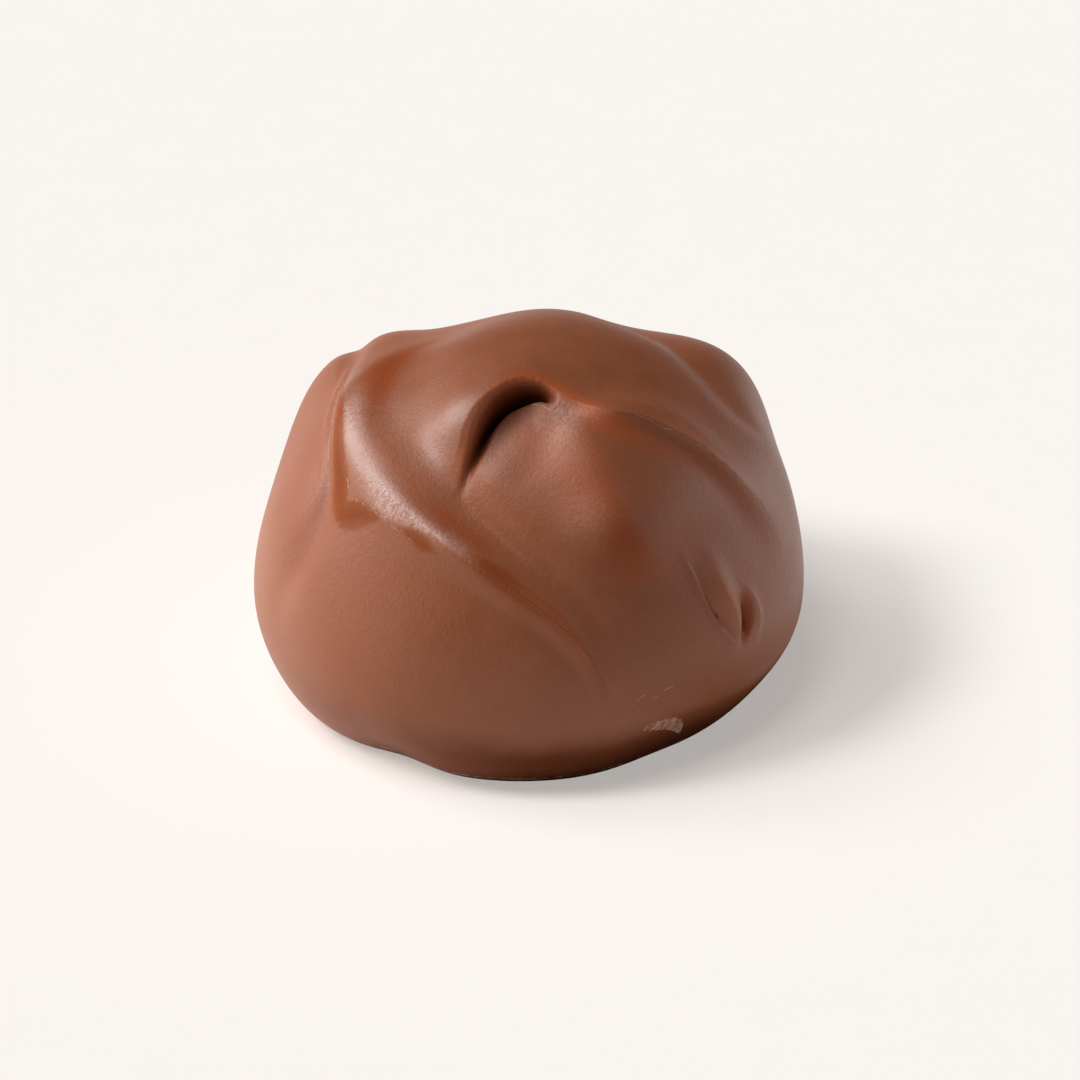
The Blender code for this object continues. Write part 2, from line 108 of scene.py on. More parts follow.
FOLDS = {
    "collar": fold([
        (-165, 10, 0.0, 1.6, 2.0), (-158, 26, 0.5, 1.6, 2.0), (-140, 40, 0.3, 1.8, 2.0),
        (-120, 50, 0.1, 2.0, 2.0), (-101, 53.5, 0.4, 2.0, 1.8), (-84, 52, 0.75, 1.6, 1.7),
        (-70, 50, 0.8, 1.5, 1.9), (-59, 47.5, 0.75, 1.8, 1.9), (-49, 46, 0.7, 2.0, 2.0),
        (-40, 44.1, 0.65, 2.0, 2.0), (-32, 42, 0.6, 1.9, 2.0), (-24, 38.8, 0.5, 1.6, 1.8),
        (-13.5, 34.3, 0.3, 1.4, 1.4), (-3, 28.5, 0.0, 1.0, 1.0)], falloff=2.4),
    "collar lip": fold([
        (-62, 40, 0.0, 0.8, 1.6), (-54, 42.3, 0.06, 0.9, 1.7), (-46, 42.2, 0.15, 0.9, 1.8),
        (-38, 41, 0.24, 0.9, 1.8), (-30, 39.1, 0.3, 0.8, 1.6), (-22, 36.5, 0.28, 0.7, 1.4),
        (-13, 32.7, 0.2, 0.6, 1.2), (-4, 28, 0.0, 0.5, 1.0)], blur=0.3),
    "panel edge": fold([
        (-29, 38.5, 0.0, 1.4, 1.0), (-21, 35.5, 0.3, 1.4, 1.0), (-11, 31.5, 0.75, 1.7, 0.9),
        (-3, 27.5, 0.85, 2.0, 0.9), (4, 23, 0.8, 2.0, 0.8), (11, 16, 0.6, 1.8, 0.7),
        (17, 3, 0.0, 1.8, 0.7)]),
    "hook and right ridge": fold([
        (-27.5, 47, 0.0, 1.6, 1.0), (-26.5, 51, 0.1, 1.6, 0.9), (-25.5, 55, 0.2, 1.8, 0.8),
        (-25, 60, 0.75, 2.2, 0.9), (-23.5, 64.5, 1.0, 2.6, 0.95), (-18, 69.2, 0.9, 2.6, 0.85),
        (-10, 72.8, 0.7, 2.4, 0.75), (3, 74.2, 0.5, 2.2, 0.7), (15, 71.7, 0.3, 2.2, 0.75),
        (25, 67, 0.3, 2.4, 0.6), (34, 62, 0.45, 2.5, 0.6), (45, 57, 0.65, 2.6, 0.6),
        (56, 48.5, 0.75, 2.4, 0.6), (61, 42, 0.75, 2.0, 0.7), (65, 34.5, 0.65, 2.0, 0.9),
        (69, 25, 0.4, 2.0, 1.3), (71, 15, 0.0, 2.0, 1.6)]),
    "tongue": fold([
        (17, 65, 0.0, 2.6, 1.4), (21, 60.5, 0.75, 5.0, 1.8), (23.5, 54.5, 1.0, 7.0, 2.6),
        (23.5, 47, 1.1, 7.4, 3.0), (22.5, 39, 1.3, 5.4, 2.9), (21.5, 33, 0.9, 3.8, 2.6),
        (20, 26, 0.0, 3.0, 2.6)]),
    "right crease": fold([
        (150, 56, 0.0, 1.4, 1.2), (128, 54, -0.3, 1.4, 1.3), (107, 50, -0.38, 1.5, 1.4),
        (93, 40, -0.25, 1.5, 1.4), (94, 31, 0.0, 1.4, 1.2)]),
    "left crease": fold([
        (-150, 22, 0.0, 1.2, 0.9), (-132, 38, -0.5, 1.2, 0.9), (-114, 46, -0.4, 0.8, 0.7),
        (-96, 48, -0.4, 0.5, 0.6), (-82, 45.5, -0.4, 0.45, 0.55), (-69, 41, -0.4, 0.45, 0.6),
        (-60, 34, -0.35, 0.8, 0.9), (-58, 26, -0.3, 1.2, 1.3), (-61, 15, -0.25, 1.3, 1.4),
        (-65, 3, 0.0, 1.4, 1.4)]),
    "left lip": fold([
        (-128, 41, 0.0, 1.2, 0.5), (-113, 45.5, 0.2, 1.2, 0.35), (-97, 46.4, 0.3, 1.2, 0.3),
        (-83, 44, 0.3, 1.2, 0.3), (-72, 40.7, 0.25, 1.0, 0.3), (-65, 36, 0.15, 1.0, 0.4),
        (-61.5, 29, 0.0, 1.0, 0.4)], blur=0.2),
    "bowl": fold([
        (-140, 64, 0.0, 2.4, 3.0), (-112, 66, -0.3, 2.6, 2.8), (-86, 65, -0.7, 2.6, 2.6),
        (-62, 62, -0.7, 2.5, 2.6), (-42, 55.5, -0.5, 2.2, 3.0), (-23, 48, -0.7, 1.5, 2.6),
        (-7, 38.5, -0.85, 1.3, 2.0), (5, 29, -0.8, 1.3, 2.0), (14, 18, -0.5, 1.2, 2.1),
        (19, 6, 0.0, 1.2, 2.2)]),
    "lap lip": fold([
        (38, 31, 0.0, 0.7, 0.3), (39.2, 27, 0.1, 0.7, 0.3), (40.4, 23, 0.22, 0.7, 0.28),
        (41.5, 19, 0.3, 0.7, 0.25), (42.8, 15, 0.3, 0.7, 0.25), (44.6, 11.3, 0.27, 0.7, 0.25),
        (46.5, 8.5, 0.2, 0.7, 0.35), (48.5, 6.3, 0.12, 0.7, 0.5), (51, 4.5, 0.0, 0.7, 0.5)], blur=0.25),
    "lap crease": fold([
        (40.6, 27, 0.0, 0.3, 0.4), (41.6, 23.7, -0.2, 0.25, 0.4), (42.4, 20.5, -0.4, 0.25, 0.4),
        (43.3, 17.2, -0.45, 0.25, 0.4), (44.6, 14, -0.45, 0.25, 0.4), (46, 11.3, -0.3, 0.25, 0.35),
        (47.3, 9, 0.0, 0.25, 0.3)], blur=0.25),
    "thumb": fold([
        (45, 30, 0.0, 1.1, 0.9), (46.3, 24, 0.25, 1.0, 0.9), (47.5, 18, 0.45, 0.9, 0.8),
        (48.6, 13, 0.45, 0.8, 0.6), (49.2, 9, 0.25, 0.7, 0.5), (49.6, 6, 0.0, 0.6, 0.5)]),
    "notch": fold([
        (52.8, 17, 0.0, 0.3, 0.45), (53.2, 14.5, -0.35, 0.3, 0.45), (53.2, 12, -0.75, 0.3, 0.45),
        (52.5, 9.2, -0.75, 0.3, 0.45), (51.3, 7, -0.4, 0.3, 0.4), (49.9, 5.5, 0.0, 0.3, 0.35)],
        blur=0.25),
    "notch lip": fold([
        (54.9, 17, 0.0, 0.3, 0.9), (56, 14.3, 0.15, 0.35, 0.9), (56.6, 11.5, 0.22, 0.35, 0.9),
        (56.5, 8.5, 0.2, 0.35, 0.8), (55.8, 5.7, 0.1, 0.3, 0.7), (54.3, 3.5, 0.0, 0.3, 0.6)],
        blur=0.25),
    "back ridge": fold([
        (160, 50, 0.0, 1.2, 2.2), (172, 34, 0.7, 1.2, 2.2), (165, 18, 0.7, 1.2, 2.2),
        (150, 4, 0.0, 1.2, 2.2)]),
    "back crease": fold([
        (178, 46, 0.0, 1.0, 1.4), (-174, 30, -0.7, 1.0, 1.4), (-180, 12, -0.5, 1.0, 1.4),
        (170, 0, 0.0, 1.0, 1.4)]),
    "root of the tongue": fold([
        (-20, 46, 0.0, 0.5, 1.2), (-19, 51.5, -0.2, 0.5, 1.3), (-17, 57, -0.4, 0.5, 1.4),
        (-14, 62.5, -0.5, 0.5, 1.4), (-8.5, 67, -0.55, 0.5, 1.4), (0, 69.7, -0.5, 0.5, 1.3),
        (9, 70.2, -0.3, 0.5, 1.2), (16, 68.5, 0.0, 0.5, 1.0)]),
    "slot under the hook": fold([
        (-20.5, 46.5, 0.0, 0.3, 0.35), (-20, 51.5, -0.35, 0.3, 0.35), (-18.7, 57, -1.2, 0.33, 0.35),
        (-16.6, 63, -2.1, 0.36, 0.3), (-10.5, 68.4, -2.3, 0.38, 0.3), (-1, 71, -2.3, 0.38, 0.3),
        (8.5, 71.2, -1.7, 0.33, 0.3), (15.5, 69, 0.0, 0.3, 0.3)],
        falloff=2.5, lean=0.2, blur=0.2),
}


def heading(azimuth, latitude):
    """Unit vector of a place given in degrees."""
    turn, rise = np.radians(azimuth), np.radians(latitude)
    return np.stack([np.cos(rise) * np.sin(turn), -np.cos(rise) * np.cos(turn), np.sin(rise)], -1)


def smooth_curve(stops, at, where):
    """Cubic curve through the stops, which stand at the places 'at', read at the places 'where'."""
    slope = np.gradient(stops, at, axis=0)
    span = np.clip(np.searchsorted(at, where, side="right") - 1, 0, len(at) - 2)
    step = (at[span + 1] - at[span])[:, None]
    t = (where - at[span])[:, None] / step
    rise = 3 * t ** 2 - 2 * t ** 3
    return ((1 - rise) * stops[span] + rise * stops[span + 1]
            + (t - 2 * t ** 2 + t ** 3) * step * slope[span]
            + (t ** 3 - t ** 2) * step * slope[span + 1])


def fold_line(item):
    """Headings along a fold's line, and its height and widths at each of them."""
    stops = np.array(item["stops"], float)
    corners = heading(stops[:, 0], stops[:, 1])
    lengths = np.linalg.norm(np.diff(corners, axis=0), axis=1)
    at = np.concatenate([[0.0], np.cumsum(lengths)]) / lengths.sum()
    share = np.linspace(0, 1, FOLD_STEPS)
    line = smooth_curve(corners, at, share)
    line /= np.linalg.norm(line, axis=1)[:, None]
    return line, smooth_curve(stops[:, 2:], at, share)


def beside_line(headings, item, reach):
    """The headings within reach of a fold's line: which they are, how many millimetres they lie to
    the right of it, the fold's height and widths beside them, and which way is right."""
    line, values = fold_line(item)
    ahead = np.gradient(line, axis=0)
    rightwards = np.cross(ahead / np.linalg.norm(ahead, axis=1)[:, None], line)
    near = np.flatnonzero((headings @ line.T).max(axis=1) > np.cos(reach / BALL_RADIUS))
    aside = np.zeros(len(near))
    beside = np.zeros((len(near), values.shape[1]))
    way = np.zeros((len(near), 3))
    for part in np.array_split(np.arange(len(near)), len(near) // BATCH + 1):
        place = headings[near[part]]
        gap = BALL_RADIUS * np.sqrt(np.maximum(2 - 2 * place @ line.T, 0))
        nearest = gap.min(axis=1, keepdims=True)
        weight = np.exp((nearest ** 2 - gap ** 2) / (2 * item["blur"] ** 2))
        weight /= weight.sum(axis=1, keepdims=True)
        aside[part] = np.sum(weight * np.sign(place @ rightwards.T) * gap, axis=1)
        beside[part] = weight @ values
        way[part] = weight @ rightwards
    return near, aside, beside, way


def fold_effect(headings, item):
    """How far a fold lifts each heading, and how far it pushes it sideways, in millimetres.

    The lift is the height times e to minus (distance over width) to the power of the falloff.
    """
    widest = max(max(stop[3:]) for stop in item["stops"])
    near, aside, beside, way = beside_line(headings, item, FOLD_REACH * widest)
    height, left, right = beside.T
    width = np.where(aside < 0, left, right)
    lift = np.zeros(len(headings))
    lift[near] = height * np.exp(-np.abs(aside / width) ** item["falloff"])
    push = np.zeros((len(headings), 3))
    push[near] = item["lean"] * lift[near, None] * way
    return lift, push


def coat_points(headings):
    """Points of the coat, in millimetres from the ball's middle.

    Each stands off by the ball's radius, less a tuck that grows with the square of the latitude below
    the waist, plus a bell for each swelling and the lift of each fold.
    """
    below = np.clip(-np.degrees(np.arcsin(headings[:, 2])) / TUCK_LATITUDE, 0, 2)
    radius = BALL_RADIUS - WAIST_TUCK * below ** 2
    for name, azimuth, latitude, height, spread in LOBES:
        away = 2 - 2 * headings @ heading(azimuth, latitude)
        radius += height * np.exp(-away * (BALL_RADIUS / spread) ** 2)
    push = np.zeros_like(headings)
    for item in FOLDS.values():
        lift, sideways = fold_effect(headings, item)
        radius += lift
        push += sideways
    return radius[:, None] * headings + push


def sheet_headings(u, v):
    """Headings of a square sheet (u, v from -1 to 1), and how far out each point lies, 0 to 1.

    Squares round the sheet's middle become circles, crowded together at the hook.
    """
    wide = np.abs(u) >= np.abs(v)
    out = np.where(wide, u, v)
    other = np.where(wide, v, u)
    quarter = np.pi / 4 * other / np.where(out == 0, 1, out)
    turn = np.where(wide, quarter, np.pi / 2 - quarter)
    ring = out * np.exp(1j * turn)
    ring *= FINE_SHARE + (1 - FINE_SHARE) * np.abs(ring) ** 2
    ring = (ring - 1j * FINE_SPOT) / (1 + 1j * FINE_SPOT * ring)
    polar = np.radians(SHEET_REACH) * np.abs(ring)
    around = np.angle(ring)
    flat = np.stack([np.sin(polar) * np.cos(around), np.sin(polar) * np.sin(around)], 1)
    return np.column_stack([flat, np.cos(polar)]), np.abs(ring)


def settle_on_foot(points, headings, out):
    """Lifts the body onto the floor and eases the sheet's border down into a level foot."""
    points[:, 2] += BALL_MIDDLE_HEIGHT
    around = np.arctan2(headings[:, 1], headings[:, 0])
    border = np.flatnonzero(out > 1 - 1e-6)
    border = border[np.argsort(around[border])]
    drop = np.interp(around, around[border], points[border, 2], period=2 * np.pi)
    share = np.clip((out - 1 + FOOT_SHARE) / FOOT_SHARE, 0, 1)
    points[:, 2] -= drop * share ** 2 * (3 - 2 * share)
    points[:, 2] = np.maximum(points[:, 2], 0)
    return points


def sheet_faces(cells):
    """Quads of a square grid, and the one many-sided face under it that closes the foot."""
    row = np.arange(cells)
    first = (row[:, None] * (cells + 1) + row).ravel()
    quads = np.stack([first, first + cells + 1, first + cells + 2, first + 1], 1)
    last = cells * (cells + 1)
    rim = np.concatenate([row, row * (cells + 1) + cells,
                          last + cells - row, (cells - row) * (cells + 1)])
    return quads.tolist() + [rim.tolist()]


side = np.linspace(-1, 1, SHEET_CELLS + 1)
u, v = [axis.ravel() for axis in np.meshgrid(side, side, indexing="ij")]
headings, out = sheet_headings(u, v)
points = settle_on_foot(coat_points(headings), headings, out) * MILLIMETRE
middle = (points[:, :2].max(axis=0) + points[:, :2].min(axis=0)) / 2
points[:, :2] -= middle

# The coat fills the same box as the solid, though its smaller cells reach slightly further.
low, high = [np.array(corner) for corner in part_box("chocolate_truffle")]
points = low + (points - points.min(axis=0)) / np.ptp(points, axis=0) * (high - low)

mesh = bpy.data.meshes.new("truffle_coat")
mesh.from_pydata(points.tolist(), [], sheet_faces(SHEET_CELLS))
mesh.update()
mesh.shade_smooth()
mesh.set_sharp_from_angle(angle=math.radians(SHARP_ANGLE))
truffle = bpy.data.objects.new("truffle_coat", mesh)
sweet = bpy.data.collections.new("sweet")
bpy.context.scene.collection.children.link(sweet)
sweet.objects.link(truffle)


def surface_value(name, values):
    """Stores one number a point, for the material to read."""
    layer = mesh.attributes.new(name, "FLOAT", "POINT")
    layer.data.foreach_set("value", values.astype(np.float32))


# Milk chocolate: a satin skin with a fine leathery grain. Where cocoa butter came to the surface it is
# smoother, wet-looking and more orange. The crest of the collar is glossy and finely wrinkled across.
# Light and shade are also painted into the colour: painted shade in the hollows, at the foot, on the
# crown and on the right side; painted light on the left side, the tongue and the blunt crests; a
# painted glow along the hook's rim; and painted highlights as a pale broken sheen and as thin broken
# lines along the sharpest crests.

# The marks are laid along folds of their own, where a stop's height is how strong the mark is.
# Cocoa butter on the left end of the collar, and in patches along its lower edge.
WET = {
    "strip": fold([
        (-123, 43.6, 0.0, 0.3, 0.3), (-105.5, 47.4, 0.9, 0.3, 0.3), (-82, 48.9, 1.0, 0.6, 0.5),
        (-67, 44.3, 1.1, 0.9, 0.7), (-58.5, 39.3, 1.1, 1.05, 0.9), (-54, 35.5, 0.9, 0.9, 1.1),
        (-51, 33, 0.0, 0.9, 1.1)]),
    "upper patch": fold([
        (-54, 34, 0.6, 1.1, 1.1), (-49, 34.9, 1.2, 1.1, 1.1), (-44.4, 36.2, 1.1, 0.9, 0.9),
        (-40, 37.2, 0.6, 0.5, 0.5)]),
    "seam": fold([
        (-41, 37.5, 0.5, 0.3, 0.25), (-38, 37, 0.9, 0.3, 0.25), (-34.3, 36.3, 0.9, 0.3, 0.25),
        (-31, 35.4, 0.5, 0.3, 0.25)]),
    "lower patch": fold([
        (-33, 37, 0.4, 0.4, 0.5), (-29.5, 36, 0.95, 0.6, 0.6), (-26, 34.8, 1.1, 0.7, 0.6),
        (-23, 33.8, 0.9, 0.5, 0.5), (-20.5, 33.2, 0.0, 0.4, 0.4)]),
}

# Painted shade and painted reddish light: a redder, deeper colour in the hollows and where the coat is
# thin, standing in for shade, for light bounced inside the hollows and for light shining through the
# thin coat.
PAINTED_HOLLOW_SHADE = {
    "under the collar": fold([
        (-17.7, 36.6, 0.0, 0.4, 0.8), (-11, 34.1, 0.8, 0.3, 1.2), (-6, 32.1, 1.0, 0.3, 1.4),
        (-1.4, 29.2, 1.0, 0.3, 1.5), (3.1, 26.2, 1.0, 0.3, 1.5), (7.4, 22.8, 1.0, 0.3, 1.4),
        (10.4, 18.9, 0.9, 0.3, 1.2), (13.3, 13.9, 0.7, 0.3, 1.0), (15.8, 8.1, 0.6, 0.3, 0.9),
        (17.7, 3, 0.3, 0.3, 0.8), (19, 0, 0.0, 0.3, 0.8)]),
    "right of the tongue": fold([
        (20, 59, 0.0, 0.8, 1.8), (22, 52, 0.6, 0.8, 2.0), (23, 45, 0.8, 0.7, 2.2),
        (24, 38, 0.85, 0.9, 2.4), (25, 33, 0.9, 1.6, 2.6), (24, 28.5, 0.85, 2.4, 2.6),
        (23, 23, 0.0, 2.2, 2.4)]),
    "notch": fold([
        (53.6, 16.5, 0.0, 0.3, 0.45), (54, 14, 1.4, 0.35, 0.55), (54.1, 11.5, 1.8, 0.35, 0.55),
        (53.5, 8.8, 1.6, 0.35, 0.55), (52.2, 6.5, 0.9, 0.4, 0.45), (50.8, 5, 0.0, 0.4, 0.4)]),
    "top of the bowl": fold([
        (-150, 62, 0.0, 1.4, 1.2), (-120, 60, 0.9, 1.4, 1.6), (-95, 58.5, 1.0, 1.2, 1.6),
        (-75, 56, 0.8, 1.0, 1.3), (-55, 52, 0.5, 0.8, 1.1), (-38, 46.5, 0.6, 0.8, 1.1),
        (-24, 42, 0.7, 0.6, 1.1), (-12, 37, 0.6, 0.6, 1.1), (-5, 33, 0.0, 0.6, 1.1)]),
}

# Painted light: a lighter, redder colour on the tongue and along the blunt edges, where they face the
# light.
PAINTED_LIGHT_TONES = {
    "tongue": fold([
        (-9, 57, 0.0, 2.0, 2.0), (0, 58.5, 0.8, 2.2, 2.4), (8, 57, 0.9, 2.4, 2.5),
        (15, 52, 0.9, 2.2, 2.2), (18, 45, 0.8, 1.8, 1.8), (18, 40, 0.5, 1.5, 1.6),
        (17, 35, 0.0, 1.5, 1.5)]),
    "panel edge": fold([
        (-6, 29.8, 0.0, 0.6, 0.3), (0, 26.6, 0.7, 0.7, 0.3), (4, 23.5, 0.9, 0.7, 0.3),
        (8, 20, 0.9, 0.6, 0.3), (11, 16, 0.7, 0.5, 0.3), (14, 10, 0.0, 0.5, 0.3)]),
    "thumb": fold([
        (46, 26, 0.0, 0.8, 0.8), (47.5, 19, 0.7, 0.8, 0.7), (48.7, 13, 0.7, 0.7, 0.5),
        (49.3, 8, 0.0, 0.5, 0.4)]),
    "right ridge": fold([
        (44, 58.5, 0.0, 0.6, 0.3), (53, 51.8, 0.7, 0.8, 0.35), (60, 43.8, 0.7, 0.8, 0.4),
        (66, 32, 0.0, 0.7, 0.5)]),
}

# Painted glow: a clear, warm orange along the hook's rim and the ridge that runs on from it, standing
# in for light shining through the thin chocolate.
PAINTED_GLOW = {
    "rim of the hook": fold([
        (-22.5, 47, 0.0, 0.8, 0.5), (-21.5, 52, 0.7, 0.8, 0.5), (-20.5, 58.6, 1.0, 0.8, 0.5),
        (-17.6, 66.1, 1.0, 0.8, 0.5), (-12, 70.2, 1.0, 0.8, 0.5), (-1, 73.6, 1.0, 0.9, 0.5),
        (15, 72, 1.0, 0.9, 0.5), (26, 67, 0.9, 0.8, 0.8), (32, 61.5, 0.9, 0.7, 1.6),
        (42.5, 55, 0.7, 0.5, 1.5), (54, 46.4, 0.5, 0.5, 1.4), (61, 37.5, 0.3, 0.5, 1.2),
        (64.7, 30.8, 0.0, 0.5, 1.2)]),
}

# A scuffed flake, low on the right of the front.
FLAKE = {
    "flake": fold([
        (24, -6, 0.0, 0.15, 0.1), (25.8, -6.7, 1.0, 0.5, 0.1), (28.6, -7.9, 1.0, 0.95, 0.1),
        (31, -9, 1.0, 1.2, 0.1), (33.4, -10.3, 1.0, 1.05, 0.12), (35.3, -11.8, 0.95, 0.75, 0.12),
        (37, -13.4, 0.8, 0.3, 0.15), (38.5, -15, 0.0, 0.15, 0.1)], falloff=4.0, blur=0.1),
}

# Painted highlight: a pale, milky-looking sheen along the collar, in the bowl, on the tongue and beside
# the hook.
PAINTED_HIGHLIGHTS = {
    "painted highlight band": fold([
        (-92, 53.5, 0.0, 0.7, 0.7), (-76, 52.2, 0.55, 0.8, 0.8), (-60, 48.3, 0.4, 0.8, 0.8),
        (-50, 44.4, 0.35, 0.7, 0.7), (-44, 41, 0.65, 0.6, 0.6), (-37.5, 39.3, 1.2, 0.6, 0.55),
        (-30.5, 38.6, 1.2, 0.55, 0.5), (-24, 37.2, 1.15, 0.5, 0.45), (-18, 35.8, 1.0, 0.45, 0.4),
        (-11.5, 33.2, 0.0, 0.35, 0.3)], falloff=2.2),
    "bowl": fold([
        (-78, 56, 0.0, 1.4, 1.4), (-68, 55.5, 0.2, 1.8, 1.5), (-57, 54, 0.2, 1.8, 1.5),
        (-46, 51, 0.0, 1.4, 1.4)]),
    "tip of the tongue": fold([
        (6, 68.5, 0.0, 0.5, 1.2), (14, 67, 0.6, 0.5, 2.0), (21, 65, 0.6, 0.5, 2.2),
        (29, 61.5, 0.0, 0.5, 1.6)]),
    "spot on the tongue": fold([
        (12, 45, 0.0, 1.2, 1.2), (14.5, 42, 0.25, 1.6, 1.6), (16.5, 39, 0.25, 1.6, 1.6),
        (17.5, 36, 0.0, 1.2, 1.2)]),
    "left wall of the hook": fold([
        (-37, 49, 0.0, 1.4, 1.4), (-36, 53, 0.22, 1.7, 1.5), (-34.5, 58, 0.25, 1.8, 1.5),
        (-31, 63.5, 0.2, 1.6, 1.3), (-22, 69, 0.0, 1.4, 1.0)]),
}

# Glossier skin, on the collar's crest and round the hook.
GLOSS = {
    "collar crest": fold([
        (-110, 51.5, 0.0, 1.2, 1.2), (-95, 52.5, 0.6, 1.2, 1.2), (-82, 51.5, 0.6, 1.2, 1.2),
        (-68, 48.5, 0.65, 1.2, 1.4), (-57, 45.5, 0.62, 1.2, 1.6), (-47, 42.8, 0.7, 1.2, 1.6),
        (-37, 40.6, 1.0, 1.1, 1.2), (-28, 38.8, 1.0, 0.8, 0.8), (-20, 36.4, 0.8, 0.6, 0.5),
        (-13, 33.5, 0.0, 0.4, 0.4)], falloff=3.0),
    "left wall of the hook": fold([
        (-38, 45, 0.0, 1.6, 1.3), (-36, 50, 0.35, 1.8, 1.5), (-35, 56, 0.45, 2.0, 1.6),
        (-33, 62, 0.45, 2.0, 1.5), (-27, 67, 0.35, 1.6, 1.3), (-16, 71.5, 0.0, 1.4, 0.8)]),
    "tip of the tongue": fold([
        (11, 67, 0.0, 0.5, 0.6), (15, 66.5, 0.8, 0.5, 0.8), (21, 65, 0.8, 0.5, 0.8),
        (26, 63, 0.0, 0.5, 0.6)]),
}

# Painted shade: the deepest hollows, in the slot, under the hook's rim and at the top of the bowl,
# painted nearly black.
PAINTED_DEEP_SHADE = {
    "root of the tongue": fold([
        (-19.5, 48, 0.0, 0.3, 0.5), (-18.5, 54, 0.25, 0.3, 0.8), (-16, 60, 0.5, 0.4, 1.1),
        (-12, 65, 0.65, 0.4, 1.4), (-5, 68.5, 0.65, 0.4, 1.4), (3, 70, 0.6, 0.4, 1.1),
        (9, 70.5, 0.4, 0.4, 0.7), (13, 69.5, 0.0, 0.3, 0.4)]),
    "top of the bowl": fold([
        (-132, 60, 0.0, 1.2, 1.2), (-116, 59.5, 0.2, 1.4, 1.3), (-100, 58.5, 0.2, 1.3, 1.2),
        (-84, 58, 0.0, 1.0, 1.0)]),
    "in the slot": fold([
        (-20, 49, 0.0, 0.3, 0.4), (-18.7, 57, 0.4, 0.4, 0.4), (-16, 63, 0.9, 0.6, 0.4),
        (-10.5, 68, 1.0, 0.75, 0.45), (-1, 70.6, 1.0, 0.8, 0.45), (8.5, 70.8, 0.9, 0.6, 0.4),
        (15, 69, 0.0, 0.3, 0.3)], falloff=3.0),
}

# Lips so thin that each catches the light as a line: a painted highlight line, with a small raised bump
# under it.
PAINTED_HIGHLIGHT_LINES = {
    "lip line": fold([
        (-108, 47.5, 0.0, 1, 1), (-97, 47.7, 0.5, 1, 1), (-90, 47.3, 1.1, 1, 1),
        (-82.5, 46, 1.6, 1, 1), (-75.5, 43.5, 1.4, 1, 1), (-70, 41, 1.2, 1, 1),
        (-65.5, 37.5, 0.8, 1, 1), (-62, 32.5, 0.0, 1, 1)]),
    "panel line": fold([
        (-16, 34, 0.0, 1, 1), (-5.5, 29, 0.15, 1, 1), (4, 22.8, 0.2, 1, 1), (11, 15.5, 0.2, 1, 1),
        (18, 2, 0.0, 1, 1)]),
    "ridge line": fold([
        (39, 60.3, 0.0, 1, 1), (45.5, 56.8, 0.6, 1, 1), (50.5, 53, 0.9, 1, 1),
        (56, 48, 1.0, 1, 1), (61.5, 41.5, 0.9, 1, 1), (65, 34.5, 0.5, 1, 1), (68.5, 25, 0.0, 1, 1)]),
    "lap line": fold([
        (39.5, 28, 0.0, 1, 1), (40.8, 23.5, 0.5, 1, 1), (41.8, 19.5, 0.8, 1, 1),
        (43, 15.5, 0.8, 1, 1), (44.7, 11.8, 0.7, 1, 1), (46.5, 9, 0.5, 1, 1), (48.3, 7, 0.0, 1, 1)]),
    "notch line": fold([
        (55.2, 16.5, 0.0, 1, 1), (56.2, 13.5, 0.4, 1, 1), (56.5, 10.5, 0.5, 1, 1),
        (56.2, 7.5, 0.3, 1, 1), (55.3, 4.8, 0.0, 1, 1)]),
    "hook end line": fold([
        (4.5, 69.3, 0.0, 1, 1), (7.5, 68.7, 0.7, 1, 1), (10.5, 67.6, 0.7, 1, 1),
        (13, 66.5, 0.0, 1, 1)]),
}

# Glints along the upper edge of the wet patches.
GLINTS = {
    "edge of the wet patches": fold([
        (-56, 40.2, 0.0, 1, 1), (-53, 38.8, 0.9, 1, 1), (-49.5, 38, 1.0, 1, 1),
        (-46, 38.1, 1.0, 1, 1), (-42, 37.9, 0.9, 1, 1), (-38, 37, 0.8, 1, 1),
        (-34.3, 36.3, 0.8, 1, 1), (-31, 35.4, 0.6, 1, 1), (-28, 34.3, 0.0, 1, 1)]),
}

# Two short rows of pale specks above the flake.
SPECKS = {
    "left specks": fold([
        (22.2, 0.7, -1.0, 1, 1), (23.1, 1.6, 1.0, 1, 1), (24.5, 2.7, 1.0, 1, 1),
        (25.5, 3.3, -1.0, 1, 1)]),
    "right specks": fold([
        (27.2, 1.3, -1.0, 1, 1), (28.2, 1.8, 1.0, 1, 1), (30.4, 2.8, 1.0, 1, 1),
        (31.4, 3.3, -1.0, 1, 1)]),
}

# How far to either side of a thin line its distance is kept, in millimetres.
LINE_REACH = 1.5


def strongest(items):
    """The largest lift of several folds at each point."""
    return np.max([fold_effect(headings, item)[0] for item in items.values()], axis=0)


MARKS = {"wet": WET, "gloss": GLOSS, "warm": PAINTED_HOLLOW_SHADE, "painted_highlight": PAINTED_HIGHLIGHTS, "painted_light_tone": PAINTED_LIGHT_TONES, "painted_rim_glow": PAINTED_GLOW,
         "dark": PAINTED_DEEP_SHADE, "flake": FLAKE}
for name, items in MARKS.items():
    surface_value(name, strongest(items))
for name, item in {**PAINTED_HIGHLIGHT_LINES, **GLINTS, **SPECKS}.items():
    near, aside, beside, _ = beside_line(headings, item, LINE_REACH)
    gap = np.full(len(headings), LINE_REACH)
    gap[near] = aside
    surface_value(name, gap)
    strength = np.zeros(len(headings))
    strength[near] = np.maximum(beside[:, 0], 0)
    surface_value(name + " strength", strength)

# How far along the collar's crest each point lies, in millimetres, for the wrinkles across it.
crest_line = fold_line(GLOSS["collar crest"])[0]
crest_step = np.linalg.norm(np.diff(crest_line, axis=0), axis=1).sum() * BALL_RADIUS / FOLD_STEPS
surface_value("along the crest", (headings @ crest_line.T).argmax(axis=1) * crest_step)

material = bpy.data.materials.new("milk chocolate skin")
material.use_nodes = True
surface = material.node_tree.nodes["Principled BSDF"]


